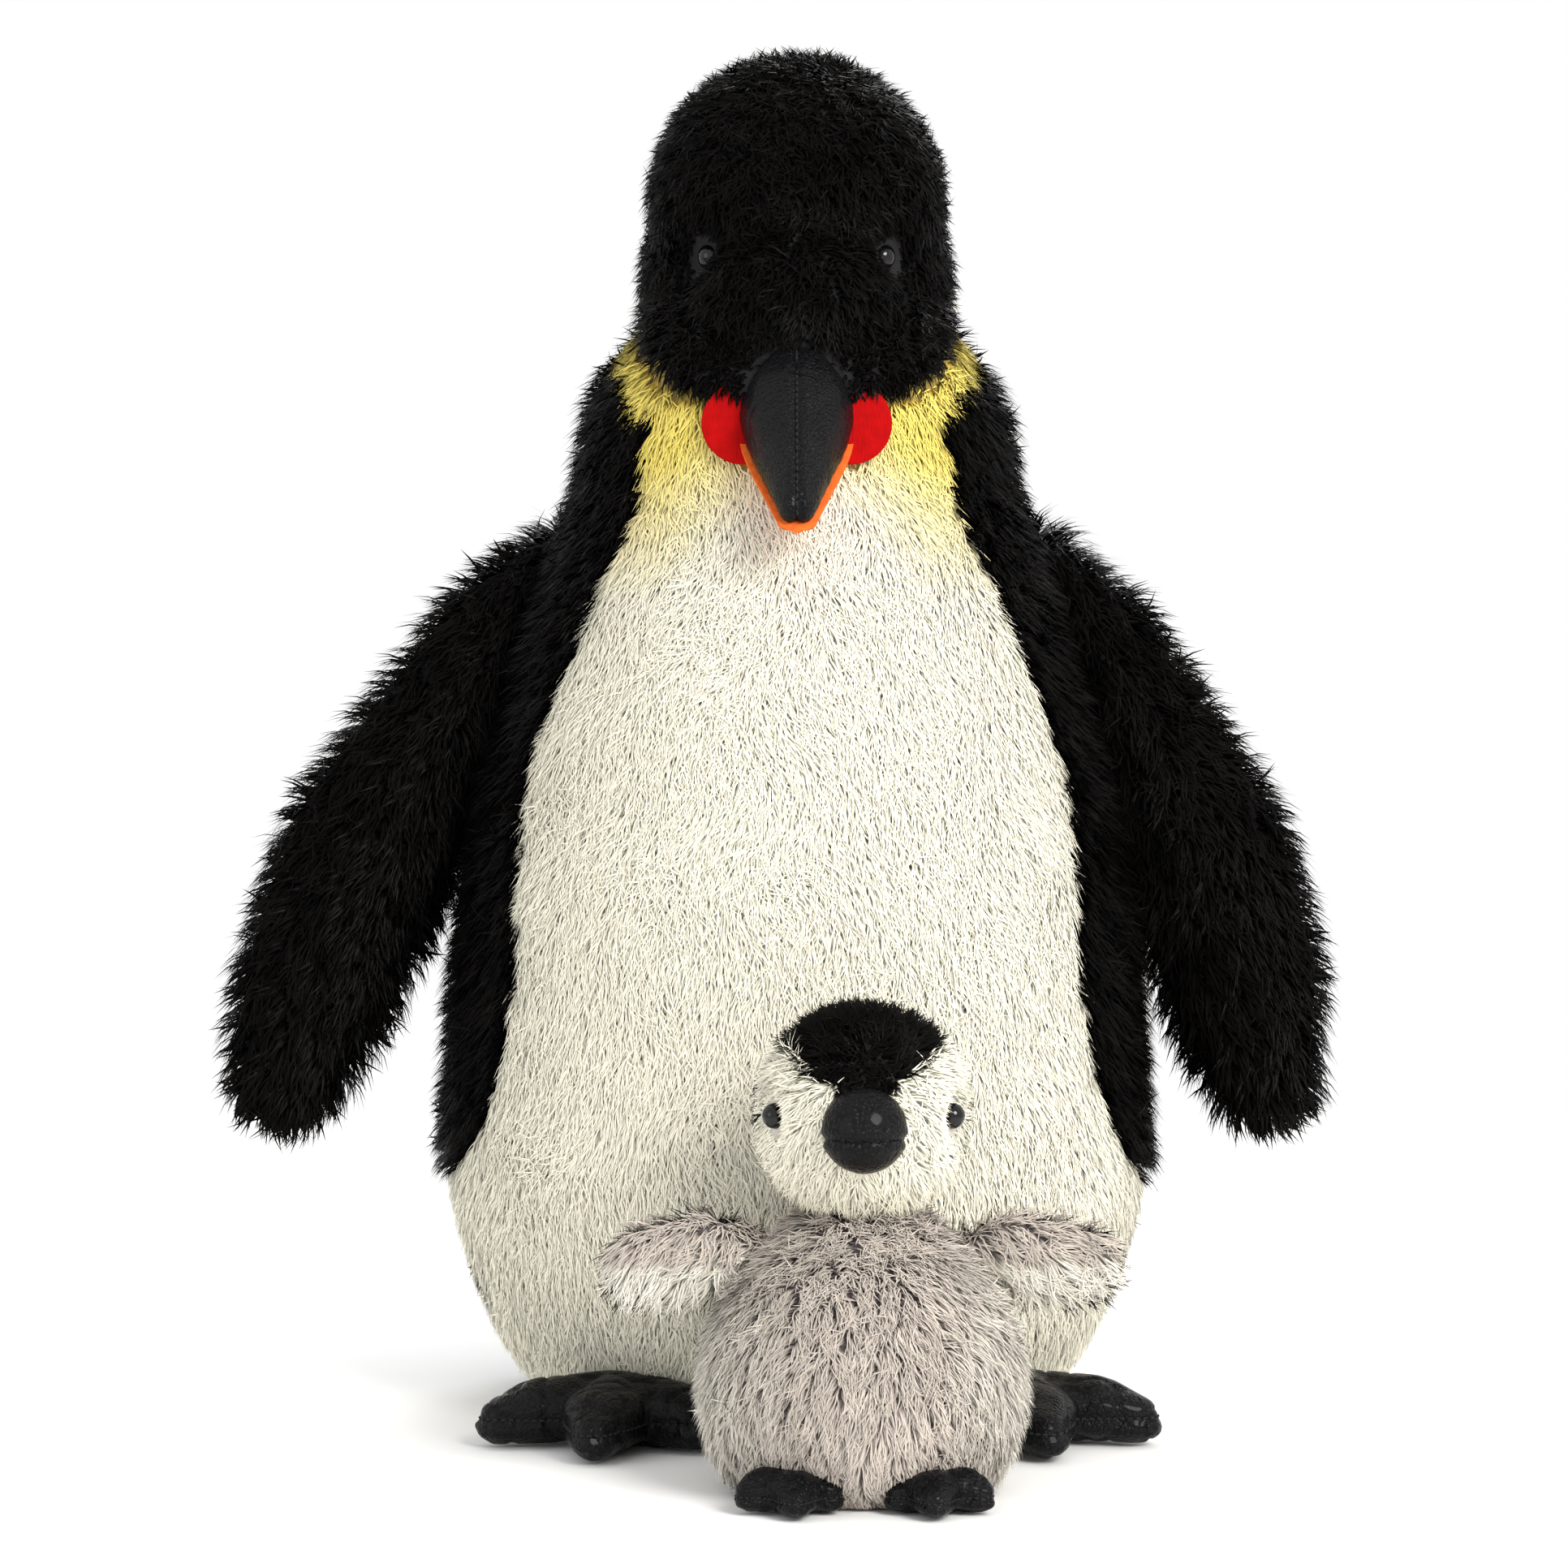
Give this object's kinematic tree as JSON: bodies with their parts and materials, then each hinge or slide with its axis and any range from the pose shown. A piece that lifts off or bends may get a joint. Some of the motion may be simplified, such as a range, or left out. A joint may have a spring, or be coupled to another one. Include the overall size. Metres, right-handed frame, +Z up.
{
  "type": "plush penguin",
  "caption": "Standing plush penguin with a nodding head, lifting flippers and leatherette feet, and a small plush chick that stands in front of it.",
  "frame": {"origin": "middle of the adult's flat base panel, on the surface it stands on", "axes": "+Z up, the adult and the chick face -Y, +X to the toy's left hand side as seen from the front"},
  "size_m": [0.4964, 0.4585, 0.6],
  "materials": {
    "white_plush": "long plush pile",
    "black_plush": "long plush pile",
    "yellow_plush": "long plush pile, tipped yellow",
    "grey_plush": "plush pile with paler tips",
    "cream_plush": "plush pile",
    "black_leatherette": "pebbled leatherette, half gloss",
    "orange_felt": "felt",
    "red_felt": "felt",
    "eye_plastic": "gloss",
    "washer_plastic": "matte",
    "fibre_fill": "loose polyester fibre",
    "bag_cloth": "plain weave"
  },
  "bodies": {
    "adult": {"base_panel": "white_plush", "belly_panel": "white_plush", "back_panel": "black_plush", "collar_panel": "yellow_plush", "body_stuffing": "fibre_fill", "pellet_bag": "bag_cloth", "foot_left_upper": "black_leatherette", "foot_left_sole": "black_leatherette", "foot_left_stuffing": "fibre_fill", "foot_right_upper": "black_leatherette", "foot_right_sole": "black_leatherette", "foot_right_stuffing": "fibre_fill"},
    "adult_head": {"hood_panel": "black_plush", "cheek_patch_left": "white_plush", "cheek_patch_right": "white_plush", "head_stuffing": "fibre_fill", "beak_upper_left": "black_leatherette", "beak_upper_right": "black_leatherette", "beak_lower": "orange_felt", "beak_stuffing": "fibre_fill", "cheek_disc_left": "red_felt", "cheek_disc_right": "red_felt", "eye_left": "eye_plastic", "eye_right": "eye_plastic", "eye_washer_left": "washer_plastic", "eye_washer_right": "washer_plastic"},
    "flipper_left": {"flipper_left_front": "black_plush", "flipper_left_back": "black_plush", "flipper_left_stuffing": "fibre_fill"},
    "flipper_right": {"flipper_right_front": "black_plush", "flipper_right_back": "black_plush", "flipper_right_stuffing": "fibre_fill"},
    "chick": {"chick_body_left": "grey_plush", "chick_body_right": "grey_plush", "chick_base_panel": "grey_plush", "chick_stuffing": "fibre_fill", "chick_pellet_bag": "bag_cloth", "chick_foot_left_upper": "black_leatherette", "chick_foot_left_sole": "black_leatherette", "chick_foot_left_stuffing": "fibre_fill", "chick_foot_right_upper": "black_leatherette", "chick_foot_right_sole": "black_leatherette", "chick_foot_right_stuffing": "fibre_fill"},
    "chick_head": {"chick_cap": "black_plush", "chick_face_left": "white_plush", "chick_face_right": "white_plush", "chick_head_stuffing": "fibre_fill", "chick_beak_upper": "black_leatherette", "chick_beak_lower": "black_leatherette", "chick_beak_stuffing": "fibre_fill", "chick_eye_left": "eye_plastic", "chick_eye_right": "eye_plastic", "chick_eye_washer_left": "washer_plastic", "chick_eye_washer_right": "washer_plastic"},
    "chick_wing_left": {"chick_wing_left_top": "grey_plush", "chick_wing_left_under": "cream_plush", "chick_wing_left_stuffing": "fibre_fill"},
    "chick_wing_right": {"chick_wing_right_top": "grey_plush", "chick_wing_right_under": "cream_plush", "chick_wing_right_stuffing": "fibre_fill"}
  },
  "joints": [
    {"name": "head_nod", "type": "hinge", "parent": "adult", "child": "adult_head", "pos_m": [0, 0, 0.419], "axis": [-1, 0, 0], "range_deg": [-3, 16], "stiffness_Nm_per_rad": 6},
    {"name": "flipper_left_lift", "type": "hinge", "parent": "adult", "child": "flipper_left", "pos_m": [-0.108, 0.012, 0.378], "axis": [0, 1, 0], "range_deg": [0, 60], "stiffness_Nm_per_rad": 0.15},
    {"name": "flipper_right_lift", "type": "hinge", "parent": "adult", "child": "flipper_right", "pos_m": [0.108, 0.012, 0.378], "axis": [0, -1, 0], "range_deg": [0, 60], "stiffness_Nm_per_rad": 0.15},
    {"name": "chick_lift_off", "type": "slide", "parent": "adult", "child": "chick", "axis": [0, -1, 0], "range_m": [0, 0.25]},
    {"name": "chick_head_nod", "type": "hinge", "parent": "chick", "child": "chick_head", "pos_m": [0.026, -0.231, 0.076], "axis": [-1, 0, 0], "range_deg": [-8, 8], "stiffness_Nm_per_rad": 1},
    {"name": "chick_wing_left_flap", "type": "hinge", "parent": "chick", "child": "chick_wing_left", "pos_m": [-0.018, -0.228, 0.095], "axis": [0, 1, 0], "range_deg": [-15, 35], "stiffness_Nm_per_rad": 0.2},
    {"name": "chick_wing_right_flap", "type": "hinge", "parent": "chick", "child": "chick_wing_right", "pos_m": [0.07, -0.228, 0.095], "axis": [0, -1, 0], "range_deg": [-15, 35], "stiffness_Nm_per_rad": 0.2}
  ]
}
